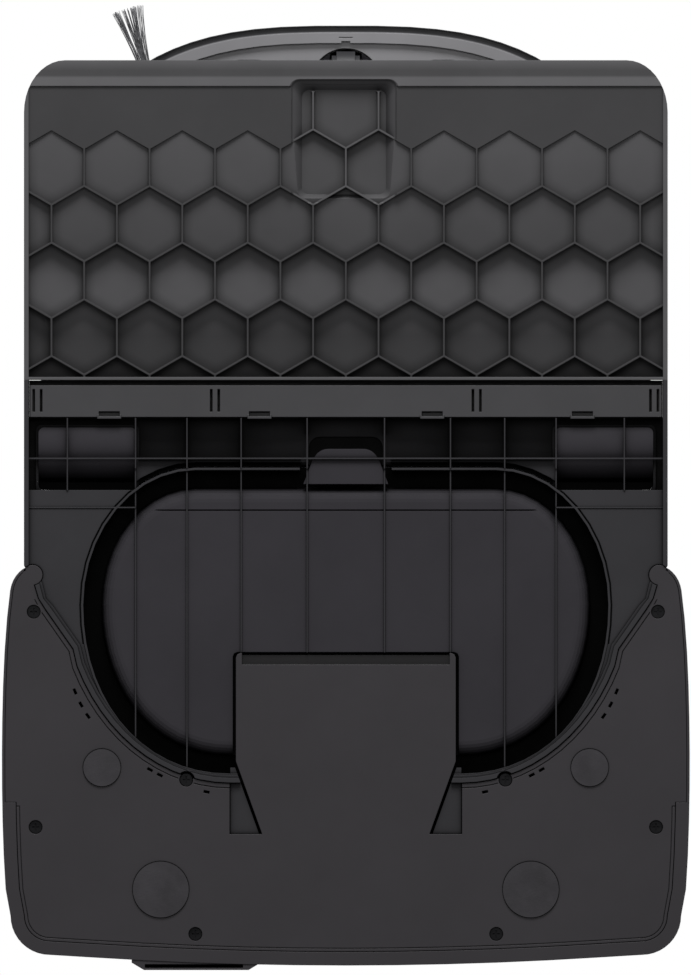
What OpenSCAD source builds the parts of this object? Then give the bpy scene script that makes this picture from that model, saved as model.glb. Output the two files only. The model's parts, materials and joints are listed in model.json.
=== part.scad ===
// Docking station for a robot vacuum and mop, with the robot standing in it.
// +X right, -Y out over the ramp, +Z up. Floor at z = 0, origin under the middle of the outline.

/* [Ramp] */
// half width of the ramp and tray
tray_hw = 172.2; // [150:0.1:190]
// front edge of the ramp
ramp_front = -228.5; // [-240:0.5:-200]
// rear edge of the ramp, where the joining strip starts
ramp_rear = -57.4; // [-70:0.1:-40]
// height of the ramp's top at its front edge
ramp_lip = 3; // [2:0.1:5]
// height of the ramp's crest and of the tray behind it
deck_top = 14.5; // [12:0.5:20]
// thickness of the moulded plates
plate_t = 2.5; // [1.5:0.1:4]
// hexagon ribs, flat to flat
hex_pitch = 35; // [20:1:50]
// thickness of the ribs
rib_t = 1; // [0.8:0.1:2]
// height of the ribs' lower edges above the floor
rib_z = 0.9; // [0.3:0.1:2]

/* [Tray and basin] */
// rear edge of the joining strip, where the tray starts
tray_front = -37.6; // [-45:0.1:-30]
// middle of the basin's two wells, along Y
basin_y = 63; // [50:1:80]
// height of the basin's flat underside
basin_z = 2.5; // [2:0.1:5]
// half width of the tongue that closes the air duct
tongue_hw = 58.8; // [40:0.1:70]
// front edge of the tongue
tongue_front = 88.7; // [80:0.1:100]

/* [Tower] */
// full height
tower_h = 460; // [400:1:520]
// largest half width
tower_hw = 184; // [170:0.5:200]
// front face
tower_front = 41.6; // [30:0.1:60]
// rear face, at the middle
tower_rear = 255.9; // [240:0.1:280]
// wall thickness
wall = 3; // [2:0.1:5]
// ceiling of the robot's bay
bay_top = 138.5; // [125:0.5:160]
// half width of the robot's bay
bay_hw = 163.6; // [160:0.1:170]
// back wall of the robot's bay
bay_rear = 158.5; // [150:0.5:180]

/* [Robot] */
// half width and half length of the robot
robot_hw = 163.5; // [150:0.5:180]
robot_hl = 176.5; // [150:0.5:190]
// how square the robot's outline is
robot_n = 2.9; // [2:0.1:4]
// middle of the robot as it stands, along Y
robot_y = -70.9; // [-80:0.1:-20]
// height of the wheels' lowest points
contact_z = 15; // [14:0.1:20]
// underside of the chassis
chassis_z = 28; // [25:0.5:35]
// top of the robot's shell
robot_top = 112; // [95:1:120]
// drive wheel radius and width
wheel_r = 35; // [25:1:40]
wheel_w = 22; // [15:1:30]
// mop radius
mop_r = 65; // [55:1:68]

/* [Hidden] */
e = 0.05;
$fn = 64;
ramp_run = ramp_rear - ramp_front;
under_front = -215;
wall_in = 2.5;
strip_gap = 1.6;
side_k = 0.00033;
side_k4 = 0.000000022;
side_y = 147;
rear_k = 0.000235;
corner_r = 21;
corner_x = 158.4;
corner_y = 229.2;
ear_x = 167.2;
lobe = [167.6, 46.9];
lobe_r = 5.3;
lip_w = 4.1;
groove_step = 2.6;
tray_rib_t = 0.7;
tongue_slot = 1.7;
tongue_step = 6.2;
neck_hw = 44.7;
neck_y0 = 146.5;
neck_y1 = 185.6;
notch_hw = 62.2;
notch_y = 161.3;
screw_z = 2.3;
bracket_y = 258.3;
shell_top = 456;
start_y = 50.6;
lower_deck_z = 141.5;
upper_deck_z = 260.5;
deck_t = 3;
axle_y = -62;
axle_z = contact_z + wheel_r;
wheel_x = 138;
mop_x = 66;
mop_y = 24;
brush_y = -124;
brush_r = 20;
brush_z = 36;
hub_x = -99.5;
hub_y = -197.6;
caster_y = -216.3;
caster_wheel_y = -224.5;
caster_wheel_r = 9;
bumper_end = -102;
turret_y = -40;
lid_hinge_y = -87.5;
button_y = -226;
port_y0 = 124;
port_y1 = 144;
port_hw = 22;
tank_x0 = 4;
tank_x1 = 168;
tank_y0 = 56;
tank_y1 = 236;
tank_z0 = 264;
tank_z1 = 442;
door_hw = 117;
door_z0 = 150.5;
door_z1 = 255.5;
bag_port_z = 188;
contact_x = 52;
contact_pin_z = 62;
screw_spots = [[167, 66.6], [85.4, 156.5], [166, 181.8], [80.5, 239]];
boss_spots = [screw_spots[0], screw_spots[2], screw_spots[3]];
boss_z = 4.2;
latch_spots = [[144.9, 109.3, 66], [141.7, 116.3, 60], [138, 122.4, 54], [104.8, 151.1, 30], [99.5, 154, 27],
               [74.5, 163, 12]];
pad_spots = [[130.5, 150, 10.3], [99, 215.2, 15.3]];
screw_hole_r = 3.7;
charcoal = [0.25, 0.25, 0.26];
dark = [0.16, 0.16, 0.17];
grey = [0.5, 0.5, 0.52];
pale = [0.8, 0.8, 0.8];
gold = [0.8, 0.65, 0.3];

function mirror_x(half) = concat(half, [for (i = [len(half) - 1:-1:0]) [-half[i][0], half[i][1]]]);

// ramp outline: straight sides, elliptical front corners
function ramp_half(d) = concat(
    [for (a = [0:9:90]) [tray_hw - 22 + (22 - d) * sin(a), ramp_front + 28 - (28 - d) * cos(a)]],
    [[tray_hw - d, ramp_rear]]);

// outline of the tower, drawn in by d
function tower_half(d) = concat(
    [for (a = [-90:10:-10]) [166 + (13.8 - d) * cos(a), tower_front + 16.4 + (16.4 - d) * sin(a)]],
    [for (y = [70:18.125:215]) [tower_hw - d - side_k * pow(y - side_y, 2) - side_k4 * pow(y - side_y, 4), y]],
    [for (a = [0:9:90]) [corner_x + (corner_r - d) * cos(a), corner_y + (corner_r - d) * sin(a)]],
    [for (x = [135:-27:0]) [x, tower_rear - d - rear_k * x * x]]);

// outline of the basin, grown by d
function basin_half(d) = concat(
    [for (a = [90:-9:0]) [80.3 + (62 + d) * cos(a), basin_y - (74 + d) * sin(a)]],
    [for (a = [6:6:84]) [62 + (80.3 + d) * pow(cos(a), 0.95), basin_y + (92 + d) * pow(sin(a), 0.95)]],
    [[62, basin_y + 92 + d]]);

// rear tray outline out to the lip, drawn in by d
function tray_half(d) = concat(
    [[tray_hw - d, ramp_rear + 0.03], [tray_hw - d, 42], [166.6 - d, 51.3], [164.2 - 0.9 * d, 59.5]],
    [[160.4 - 0.85 * d, 65.4 - 0.5 * d], [145.7 - 0.85 * d, 86.4 - 0.5 * d]],
    [for (a = [25:5:90]) [62 + (90 - d) * cos(a), 50 + (108 - d) * sin(a)]]);

function super_pt(a, hw, hl, n) = [
    hw * sign(cos(a)) * pow(abs(cos(a)), 2 / n), hl * sign(sin(a)) * pow(abs(sin(a)), 2 / n)];

module ramp_2d(d) {
    polygon(mirror_x(ramp_half(d)));
}

module tower_2d(d) {
    polygon(mirror_x(tower_half(d)));
}

module basin_2d(d) {
    polygon(mirror_x(basin_half(d)));
}

module tray_2d(d) {
    polygon(mirror_x(tray_half(d)));
}

module robot_2d(d) {
    translate([0, robot_y])
        polygon([for (a = [0:4:356]) super_pt(a, robot_hw - d, robot_hl - d, robot_n)]);
}

module box_at(x0, x1, y0, y1, z0, z1) {
    translate([x0, y0, z0])
        cube([x1 - x0, y1 - y0, z1 - z0]);
}

module pair() {
    children();
    mirror([1, 0, 0])
        children();
}

// rectangle with exact round corners
module round_rect(x0, x1, y0, y1, r) {
    translate([x0 + r, y0])
        square([x1 - x0 - 2 * r, y1 - y0]);
    translate([x0, y0 + r])
        square([x1 - x0, y1 - y0 - 2 * r]);
    for (x = [x0 + r, x1 - r], y = [y0 + r, y1 - r])
        translate([x, y])
            circle(r);
}

module slab(z0, z1) {
    translate([0, 0, z0])
        linear_extrude(z1 - z0)
            children();
}

// prism along X from a side profile of [y, z] points
module along_x(x0, x1) {
    translate([x0, 0, 0])
        rotate([90, 0, 90])
            linear_extrude(x1 - x0)
                children();
}

function ramp_top(y) = ramp_lip + (deck_top - ramp_lip) * (y - ramp_front) / ramp_run;

// the pocket for the front caster, as one sloped frustum
module caster_pocket(grow, z0, z1) {
    translate([-1, -184.65, z0])
        linear_extrude(z1 - z0, scale = [(22.5 + grow) / (30.2 + grow), (28 + grow) / (35.3 + grow)], slices = 1)
            round_rect(-30.2 - grow, 30.2 + grow, -35.3 - grow, 35.3 + grow, 5, $fn = 24);
}

// hexagonal cells, from the given row on
module hex_cells(first) {
    row = hex_pitch * sqrt(3) / 2;
    cell_r = (hex_pitch - rib_t) / sqrt(3);
    for (j = [first:4], i = [-5:5])
        translate([(i + (abs(j) % 2 == 1 ? 0 : 0.5)) * hex_pitch, -171.3 + j * row])
            rotate(30)
                circle(cell_r, $fn = 6);
}

module ramp_plate() {
    color(charcoal)
        difference() {
            union() {
                intersection() {
                    slab(0, 20)
                        ramp_2d(0);
                    along_x(-200, 200)
                        polygon([[ramp_front - 1, 2], [ramp_front, 2], [under_front, 0], [ramp_rear, 0],
                                 [ramp_rear, deck_top], [ramp_front, ramp_lip], [ramp_front - 1, ramp_lip]]);
                }
                caster_pocket(2.4, 4, 9.2);
                for (s = [-1, 1], y = [-205:10:-75])
                    box_at(s * wheel_x - 17, s * wheel_x + 17, y, y + 2, ramp_top(y) - 1, ramp_top(y) + 0.5);
            }
            intersection() {
                slab(-1, 20)
                    intersection() {
                        ramp_2d(wall_in);
                        hex_cells(0);
                    }
                along_x(-200, 200)
                    polygon([[under_front, 0], [under_front, -1], [ramp_rear - strip_gap, -1],
                             [ramp_rear - strip_gap, deck_top - plate_t]]);
            }
            // rib edges stand back from the floor
            box_at(-tray_hw + wall_in, tray_hw - wall_in, -214.6, ramp_rear - strip_gap, -1, rib_z);
            intersection() {
                caster_pocket(0, -1.2, 6.8);
                union() {
                    slab(-2, 10)
                        hex_cells(-1);
                    slab(-2, 10)
                        translate([-40, -225])
                            square([80, 13.2]);
                    slab(-2, 2.2)
                        square([100, 500], center = true);
                }
            }
        }
}

module joint_strip() {
    y0 = ramp_rear + 2.9;
    y1 = tray_front - 0.02;
    clip_x = [46.2, 126.6];
    color(charcoal)
        difference() {
            union() {
                box_at(-168.9, 168.9, y0, y1, 0.8, deck_top - 0.2);
                // top flange closes the gaps round the strip
                box_at(-169.45, 169.45, ramp_rear + 0.2, y1, deck_top - 2.2, deck_top - 0.2);
                pair()
                    for (x = clip_x)
                        box_at(x - 6.4, x + 6.4, y1 - 1.2, y1 + 0.9, 0.5, 3);
            }
            box_at(-167, 167, y0 + 2, y1 - 2.4, 2.6, deck_top - 2.2);
            pair()
                for (x = clip_x)
                    box_at(x - 5.6, x + 5.6, y1 - 3, y1 - 0.4, -1, 3.5);
            for (x = [-165, -70, 70, 165], s = [-1, 1])
                box_at(x + s * 2 - 0.7, x + s * 2 + 0.7, -52.5, -40.4, -1, 5);
        }
}

module window_2d(grow) {
    round_rect(112 - grow, 164.5 + grow, -32 - grow, 1.5 + grow, 3);
}

// thin ribs across the tray, the ring channel and the basin
module tray_ribs() {
    front_z = deck_top - plate_t + 0.2;
    low_z = 1.9;
    t = tray_rib_t / 2;
    pair() {
        for (x = [20.7, 56, 85, 112.5, 149])
            box_at(x - t, x + t, tray_front + 0.5, x > 120 ? 1.8 : -10, rib_z, 2.2);
        for (x = [20.7, 56, 85])
            box_at(x - t, x + t, tray_front + 0.5, x < 30 ? -28 : -10, rib_z, front_z);
        for (x = [20.7, 56])
            box_at(x - t, x + t, -10.5, tongue_front - 0.3, low_z, 2.4);
        box_at(85 - t, 85 + t, -10.5, 153, low_z, 2.4);
        box_at(112.5 - t, 112.5 + t, -10.5, 138.5, low_z, 2.4);
        // lines across the tray
        box_at(-0.1, tray_hw - 1, -15.8, -15, rib_z, 2.2);
        box_at(112.5, tray_hw - 1, 10.5, 11.2, 1.2, 2.4);
        box_at(24, 111, -15.8, -15, rib_z, front_z);
    }
}

// outline of the shallow floor round the ring channel
module tray_floor_2d(grow, y0) {
    difference() {
        tray_2d(0.1);
        basin_2d(grow);
        translate([-200, -200])
            square([400, 200 + y0]);
    }
}

module tray_body() {
    floor_z = 1.6;
    hole_z = deck_top - 1.2;
    difference() {
        union() {
            difference() {
                slab(0, deck_top)
                    tray_2d(0);
                slab(-1, deck_top - plate_t)
                    tray_2d(wall_in);
                box_at(-169.5, 169.5, -80, tray_front, -1, 20);
            }
            box_at(-169.5, 169.5, tray_front, tray_front + 0.8, 6, deck_top);
            // ring wall round the basin's channel
            slab(1.2, deck_top)
                difference() {
                    basin_2d(-0.6);
                    basin_2d(-1.8);
                }
            slab(floor_z, floor_z + 2.6)
                tray_floor_2d(-1, 1.5);
            slab(floor_z + 2.4, floor_z + 4.4)
                intersection() {
                    tray_floor_2d(2.4, -15.4);
                    square([2 * 112.2, 500], center = true);
                }
            // lip along the cover
            slab(0.8, floor_z + 1.2)
                difference() {
                    tray_floor_2d(-1, 45);
                    tray_2d(lip_w);
                }
            // recessed floor beside the tongue's neck
            slab(2.2, 4.2)
                pair()
                    polygon([[30, 150], [notch_hw - 0.4, 150], [notch_hw - 0.4, neck_y1], [30, neck_y1]]);
            slab(7, deck_top)
                pair()
                    difference() {
                        window_2d(1.4);
                        window_2d(0);
                    }
        }
        slab(deck_top - plate_t - 0.1, 20)
            basin_2d(0);
        // dark line outside the ring wall
        slab(-1, floor_z + 1.4)
            difference() {
                basin_2d(0.3);
                basin_2d(-0.6);
                translate([-200, 84])
                    square([400, 200]);
            }
        slab(-1, 20)
            pair()
                window_2d(0);
        // finger recess in front of the basin's latch tab
        slab(-1, hole_z) {
            round_rect(-19.8, 19.8, -27, -8.8, 6);
            translate([-24.6, -12])
                square([49.2, 5]);
        }
        slab(-1, 9.5)
            neck_2d(tongue_slot);
        box_at(-port_hw - 3, port_hw + 3, port_y0 - 3, 200, -1, 20);
    }
}

module base_tray() {
    lobe_cut = 0.4;
    color(charcoal)
        difference() {
            union() {
                tray_body();
                tray_ribs();
            }
            for (p = screw_spots, s = [-1, 1])
                translate([s * p[0], p[1], -1])
                    cylinder(r = screw_hole_r + 1, h = 20);
            slab(-1, 4.3)
                pair()
                    translate(lobe)
                        circle(lobe_r + lobe_cut);
        }
}

// trough under one drive wheel: convex seen from below
module wheel_rest() {
    trough_y = -23;
    trough_r = 25;
    trough_z = trough_r + 2.8;
    color(dark)
        intersection() {
            slab(2.5, deck_top - 0.1)
                window_2d(-0.02);
            union() {
                difference() {
                    along_x(110, 167)
                        translate([trough_y, trough_z])
                            circle(trough_r);
                    along_x(109, 168)
                        translate([trough_y, trough_z])
                            circle(trough_r - 2);
                    box_at(100, 170, -40, trough_y, deck_top, 60);
                }
                box_at(110, 167, -2.6, 3, 11.6, deck_top);
                for (x = [118:8:158])
                    intersection() {
                        box_at(x, x + 1.6, -40, 1, 2, deck_top);
                        difference() {
                            along_x(110, 167)
                                translate([trough_y, trough_z])
                                    circle(trough_r - 1);
                            along_x(109, 168)
                                translate([trough_y, trough_z])
                                    circle(trough_r - 3.4);
                        }
                    }
            }
        }
}

module wheel_rest_right() {
    wheel_rest();
}

module wheel_rest_left() {
    mirror([1, 0, 0])
        wheel_rest();
}

module basin_bowl() {
    edge_in = 12;
    edge_w = 7;
    edge_h = 5.5;
    hull() {
        for (a = [0:15:90])
            translate([0, 0, basin_z + edge_h * (1 - cos(a))])
                linear_extrude(0.01)
                    basin_2d(-edge_in - edge_w * (1 - sin(a)));
        translate([0, 0, deck_top - 2.2])
            linear_extrude(0.01)
                basin_2d(-edge_in + 0.8);
    }
}

module wash_basin() {
    floor_z = basin_z + 2;
    raised_z = 11.4;
    tab_z = 2.5;
    color(dark)
        difference() {
            union() {
                difference() {
                    union() {
                        basin_bowl();
                        slab(deck_top - 2.2, deck_top - 0.2)
                            basin_2d(-0.4);
                    }
                    difference() {
                        slab(floor_z, 20)
                            basin_2d(-14.5);
                        box_at(-tongue_hw - 4.4, tongue_hw + 4.4, tongue_front - 3.4, 200, 0, raised_z);
                    }
                }
                // washboard ribs in each well
                for (s = [-1, 1], a = [0:30:150])
                    translate([s * mop_x, 71, floor_z - 0.5])
                        rotate(a)
                            translate([-46, -1.2, 0])
                                cube([92, 2.4, 5.3]);
                // latch tab
                slab(tab_z, tab_z + 1.8)
                    difference() {
                        union() {
                            polygon(mirror_x([[9, -20.5], [17.6, -15], [22.7, -1.7]]));
                            for (s = [-1, 1])
                                translate([s * 9.4, -12.2])
                                    circle(8.3);
                        }
                        translate([-14.5, -15.8])
                            square([29, 0.8]);
                    }
                box_at(-15, 15, -4.5, -1.7, tab_z, deck_top - 1);
                box_at(-15, 15, -4.5, 6, deck_top - 2.2, deck_top - 0.2);
            }
            slab(-1, 9.6)
                neck_2d(tongue_slot);
            box_at(-port_hw - 2.2, port_hw + 2.2, port_y0 - 2.2, 200, -1, 20);
            // shallow line across the underside
            box_at(-140, 140, 11.9, 12.7, 0, basin_z + 0.6);
        }
}

// tongue outline: straight sides, then a narrower neck where it joins the cover
module neck_2d(grow) {
    front = tongue_front - 0.3 * grow;
    round = 2.4;
    polygon(mirror_x([[tongue_hw + grow - round, front], [tongue_hw + grow - 0.3 * round, front + 0.3 * round],
                      [tongue_hw + grow, front + round], [tongue_hw + grow, neck_y0],
                      [neck_hw + grow, neck_y1], [neck_hw + grow, neck_y1 + 5]]));
}

// shallow second groove outside the gap round the tray's lip
module groove_2d(y0) {
    difference() {
        tray_2d(-groove_step - 0.5);
        tray_2d(-groove_step);
        translate([-200, -100])
            square([400, 100 + y0]);
        square([2 * notch_hw, 500], center = true);
        for (p = screw_spots, s = [-1, 1])
            translate([s * p[0], p[1]])
                circle(screw_hole_r + 0.6);
    }
}

module bottom_cover() {
    face_z = 0.8;
    back_z = 2.8;
    band_y = 168.4;
    color(charcoal)
        difference() {
            union() {
                slab(face_z, back_z)
                    difference() {
                        tower_2d(1.7);
                        tray_2d(-0.6);
                        difference() {
                            translate([-200, band_y])
                                square([400, 100]);
                            tower_2d(7.6);
                        }
                        translate([-notch_hw, notch_y - 6])
                            square([2 * notch_hw, neck_y1 - notch_y + 6]);
                    }
                slab(face_z, back_z)
                    neck_2d(0);
                // round lobes over the tray's corners
                pair()
                    translate([lobe[0], lobe[1], face_z])
                        cylinder(r = lobe_r, h = back_z - face_z);
                slab(face_z + 3, back_z + 3)
                    translate([-tongue_hw + 2, tongue_front + 1])
                        square([2 * tongue_hw - 4, tongue_step]);
                slab(face_z, back_z + 3)
                    translate([-tongue_hw, tongue_front + tongue_step])
                        square([2 * tongue_hw, 1]);
                // stiffening wall round the edge
                slab(back_z - 0.1, 6)
                    difference() {
                        tower_2d(8.4);
                        tower_2d(10.4);
                        translate([-200, 0])
                            square([400, 170]);
                    }
            }
            // the tongue's front edge is stepped back
            box_at(-tongue_hw + 3.2, tongue_hw - 3.2, tongue_front - 1, tongue_front + tongue_step, -1, face_z + 3);
            slab(-1, face_z + 1)
                groove_2d(60);
            // second line inside the shell's foot band
            slab(-1, face_z + 0.6) {
                difference() {
                    tower_2d(9);
                    tower_2d(9.4);
                    translate([-200, 0])
                        square([400, band_y + 2.2]);
                }
                pair()
                    translate([tower_hw - 9.6, band_y + 2])
                        square([8, 0.5]);
            }
            for (p = screw_spots, s = [-1, 1])
                translate([s * p[0], p[1], -1])
                    cylinder(r = screw_hole_r, h = 10);
            for (p = pad_spots, s = [-1, 1])
                translate([s * p[0], p[1], -1])
                    cylinder(r = p[2], h = 2.6);
            for (p = latch_spots, s = [-1, 1])
                translate([s * p[0], p[1], -1])
                    rotate(-s * p[2])
                        translate([-1.6, -0.75, 0])
                            cube([3.2, 1.5, 6]);
        }
}

module foot_pads() {
    color(dark)
        for (p = pad_spots, s = [-1, 1])
            translate([s * p[0], p[1], 0])
                cylinder(r = p[2] - 0.35, h = 1.55);
}

module bottom_screws() {
    color(grey)
        for (p = screw_spots, s = [-1, 1])
            translate([s * p[0], p[1], screw_z])
                difference() {
                    union() {
                        cylinder(r = 3.3, h = 1.6);
                        cylinder(r = 1.5, h = 7.4);
                    }
                    for (a = [0, 90])
                        rotate(a)
                            translate([-1.9, -0.4, -1])
                                cube([3.8, 0.8, 1.9]);
                }
}

module tower_shell() {
    color(charcoal)
        difference() {
            union() {
                slab(3.1, shell_top)
                    difference() {
                        tower_2d(0);
                        tower_2d(wall);
                    }
                // thin rim round the cover, and a foot band round the rear
                slab(0.8, 3.2)
                    difference() {
                        tower_2d(0);
                        tower_2d(1.4);
                        translate([-ear_x, -100])
                            square([2 * ear_x, 200]);
                    }
                slab(0.8, 5)
                    difference() {
                        tower_2d(0);
                        tower_2d(7.2);
                        translate([-200, 0])
                            square([400, 168.6]);
                    }
                // screw bosses, each webbed to the nearest wall
                pair() {
                    for (p = boss_spots)
                        translate([p[0], p[1], boss_z])
                            cylinder(r = 4.4, h = 6);
                    intersection() {
                        slab(boss_z + 2, boss_z + 6)
                            tower_2d(1);
                        union() {
                            for (p = [boss_spots[0], boss_spots[1]])
                                box_at(p[0], 200, p[1] - 1.5, p[1] + 1.5, 0, 20);
                            box_at(boss_spots[2][0] - 1.5, boss_spots[2][0] + 1.5, boss_spots[2][1], 300, 0, 20);
                        }
                    }
                }
            }
            pair()
                for (p = boss_spots)
                    translate([p[0], p[1], 0])
                        cylinder(r = 1.55, h = 20);
            slab(-1, deck_top + 0.4)
                tray_2d(-0.3);
            box_at(-ear_x + 0.6, ear_x - 0.6, 30, 60, -1, lower_deck_z);
            // door opening
            box_at(-119.6, 119.6, 30, 60, door_z0 - 1.2, door_z1 + 1.2);
            // window for the status light
            box_at(-30, 30, 30, 60, 298, 302);
            // inlet opening
            box_at(-96, -64, 240, 260, 66, 92);
            // exhaust grille
            for (z = [160:7:230])
                box_at(62, 138, 235, 260, z, z + 3);
        }
}

module top_rim() {
    color(charcoal)
        difference() {
            slab(shell_top, tower_h)
                tower_2d(0.6);
            slab(400, 500)
                pair() {
                    round_rect(tank_x0 - 1.4, tank_x1 + 1.4, tank_y0 - 1.4, tank_y1 + 1.4, 23);
                    // squarer rear corners leave room for the lids to swing
                    round_rect(tank_x0 - 1.4, tank_x1 + 1.4, tank_y1 - 40, tank_y1 + 1.4, 8);
                }
            translate([0, start_y, 400])
                cylinder(r = 4.7, h = 100);
        }
}

module cavity_liner() {
    t = 3;
    floor_z = deck_top - plate_t;
    color(dark)
        difference() {
            union() {
                box_at(-bay_hw - t, bay_hw + t, 46, bay_rear + t, floor_z, lower_deck_z - 0.2);
            }
            box_at(-bay_hw, bay_hw, 30, bay_rear, deck_top, bay_top);
            slab(-1, deck_top + e)
                tray_2d(-0.8);
            for (s = [-1, 1])
                translate([s * contact_x, bay_rear - 1, contact_pin_z])
                    rotate([-90, 0, 0])
                        cylinder(r = 4.06, h = 10);
            box_at(-port_hw - 3, port_hw + 3, port_y0 - 3, bay_rear - 0.2, 0, deck_top + 1);
            for (s = [-1, 1])
                translate([s * screw_spots[1][0], screw_spots[1][1], 5])
                    cylinder(r = 2, h = 8);
        }
}

module deck_plate(z) {
    slab(z, z + deck_t)
        difference() {
            tower_2d(wall + 0.2);
            children();
        }
}

module lower_deck() {
    color(dark)
        deck_plate(lower_deck_z)
            translate([-41, 161.5])
                square([82, 25]);
}

module upper_deck() {
    color(dark)
        deck_plate(upper_deck_z)
            for (s = [-1, 1])
                translate([s * 86, 215])
                    circle(7);
}

module bag_chamber() {
    z0 = lower_deck_z + deck_t + 0.2;
    z1 = upper_deck_z - 0.2;
    color(grey)
        difference() {
            box_at(-114, 114, 46, 157, z0, z1);
            box_at(-111.5, 111.5, 30, 154.5, z0 + 2.5, z1 - 2.5);
            translate([0, 150, bag_port_z])
                rotate([-90, 0, 0])
                    cylinder(r = 15, h = 20);
        }
}

module rear_bracket() {
    color(charcoal)
        difference() {
            slab(1.2, 58)
                polygon([[-114.6, 250], [-114.6, 254.4], [-108, bracket_y], [-52, bracket_y], [-45.5, 254.4],
                         [-45.5, 250]]);
            slab(0, 60)
                tower_2d(-0.02);
            box_at(-107.5, -55, 255.2, 257.2, 0, 40);
        }
}

module power_inlet() {
    cy = 240;
    color(dark)
        difference() {
            box_at(-95.6, -64.4, cy - 8, cy + 12, 66.4, 91.6);
            for (s = [-1, 1])
                translate([-80 + s * 4, cy + 2, 79])
                    rotate([-90, 0, 0])
                        cylinder(r = 5.2, h = 20);
            box_at(-84, -76, cy + 2, cy + 20, 73.8, 84.2);
        }
    color(grey)
        for (s = [-1, 1])
            translate([-80 + s * 4, cy + 1, 79])
                rotate([-90, 0, 0])
                    cylinder(r = 1.2, h = 9);
}

module air_duct() {
    color(dark)
        difference() {
            union() {
                box_at(-40, 40, 96, 185, 2.9, 9.4);
                box_at(-port_hw, port_hw, port_y0, port_y1, 5, 21.8);
                box_at(-38, 38, 162, 185, 2.9, 208);
                translate([0, 158, bag_port_z])
                    rotate([-90, 0, 0])
                        cylinder(r = 17, h = 6);
            }
            box_at(-38.2, 38.2, 97.8, 183.2, 2, 7.7);
            box_at(-port_hw + 1.6, port_hw - 1.6, port_y0 + 1.6, port_y1 - 1.6, 3, 30);
            box_at(-36.2, 36.2, 163.8, 183.2, 2, 206.2);
            translate([0, 150, bag_port_z])
                rotate([-90, 0, 0])
                    cylinder(r = 15, h = 20);
        }
}

module duct_gasket() {
    color(dark)
        slab(21.8, 25.2)
            difference() {
                round_rect(-port_hw, port_hw, port_y0, port_y1, 3);
                round_rect(-port_hw + 2.4, port_hw - 2.4, port_y0 + 2.4, port_y1 - 2.4, 2);
            }
}

module suction_motor() {
    z0 = lower_deck_z + deck_t;
    color(grey)
        translate([98, 206, z0])
            difference() {
                union() {
                    cylinder(r = 36, h = 62);
                    cylinder(r = 40, h = 8);
                    translate([0, 0, 62])
                        cylinder(r = 24, h = 28);
                    for (a = [0:60:300])
                        rotate(a)
                            translate([35, -2, 8])
                                cube([4, 4, 46]);
                }
                translate([0, 0, 60])
                    cylinder(r = 12, h = 40);
                for (a = [0:30:330])
                    rotate(a)
                        translate([16, 0, 84])
                            cylinder(r = 2.4, h = 10);
            }
}

module water_pump() {
    z0 = lower_deck_z + deck_t;
    color(grey) {
        translate([-96, 206, z0]) {
            cylinder(r = 20, h = 34);
            translate([0, 0, 34])
                cylinder(r = 26, h = 16);
            for (s = [-1, 1])
                translate([s * 12, 0, 50])
                    cylinder(r = 3.5, h = 12);
        }
        translate([-86, 215, upper_deck_z - 30])
            difference() {
                cylinder(r = 6.8, h = 33);
                translate([0, 0, -1])
                    cylinder(r = 4.4, h = 40);
            }
    }
}

module circuit_board() {
    z0 = lower_deck_z + deck_t;
    color([0.05, 0.3, 0.15])
        box_at(-160, -132, 168, 169.6, z0, z0 + 90);
    color(dark) {
        box_at(-156, -144, 169.6, 176, z0 + 10, z0 + 30);
        box_at(-152, -136, 169.6, 172, z0 + 40, z0 + 56);
        for (z = [64, 74])
            translate([-140, 169.6, z0 + z])
                rotate([-90, 0, 0])
                    cylinder(r = 4, h = 10);
    }
}

module status_light() {
    color(pale)
        union() {
            box_at(-29.8, 29.8, tower_front + 0.4, tower_front + wall, 298.2, 301.8);
            box_at(-34, 34, tower_front + wall + 0.02, tower_front + wall + 3, 295, 305);
        }
}

module start_button() {
    color(grey)
        translate([0, start_y, shell_top - 1.6]) {
            cylinder(r = 4.65, h = 5.9);
            translate([0, 0, -1.6])
                cylinder(r = 3, h = 1.8);
        }
}

module contact_pin(s) {
    pin_tip = 151.7;
    color(gold)
        translate([s * contact_x, 0, contact_pin_z])
            rotate([-90, 0, 0])
                union() {
                    translate([0, 0, pin_tip])
                        cylinder(r = 4, h = bay_rear + 3.4 - pin_tip);
                    translate([0, 0, bay_rear + 3.35])
                        cylinder(r = 4.8, h = 1);
                }
}

module charge_contact_left() {
    contact_pin(-1);
}

module charge_contact_right() {
    contact_pin(1);
}

module dust_door() {
    color(charcoal)
        difference() {
            union() {
                box_at(-door_hw, door_hw, tower_front, tower_front + wall, door_z0, door_z1);
                translate([-door_hw, tower_front + wall / 2, door_z0])
                    cylinder(r = wall / 2, h = door_z1 - door_z0);
                for (z = [170, 230])
                    box_at(104, 110, tower_front + wall - 0.5, tower_front + wall + 4, z, z + 12);
            }
            // finger scoop
            translate([door_hw - 7, tower_front - 16, (door_z0 + door_z1) / 2])
                cylinder(r = 17.4, h = 40, center = true);
        }
}

module bag_collar() {
    color([0.75, 0.7, 0.6])
        difference() {
            box_at(-48, 48, 151, 154.3, 152, 226);
            translate([0, 140, bag_port_z])
                rotate([-90, 0, 0])
                    cylinder(r = 14, h = 40);
        }
}

module dust_bag() {
    color(pale)
        difference() {
            translate([0, 0, 148.2])
                linear_extrude(96)
                    round_rect(-94, 94, 58, 150.8, 26);
            translate([0, 0, 149.4])
                linear_extrude(93.6)
                    round_rect(-92.8, 92.8, 59.2, 149.6, 25);
            translate([0, 140, bag_port_z])
                rotate([-90, 0, 0])
                    cylinder(r = 13.5, h = 40);
        }
}

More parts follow.
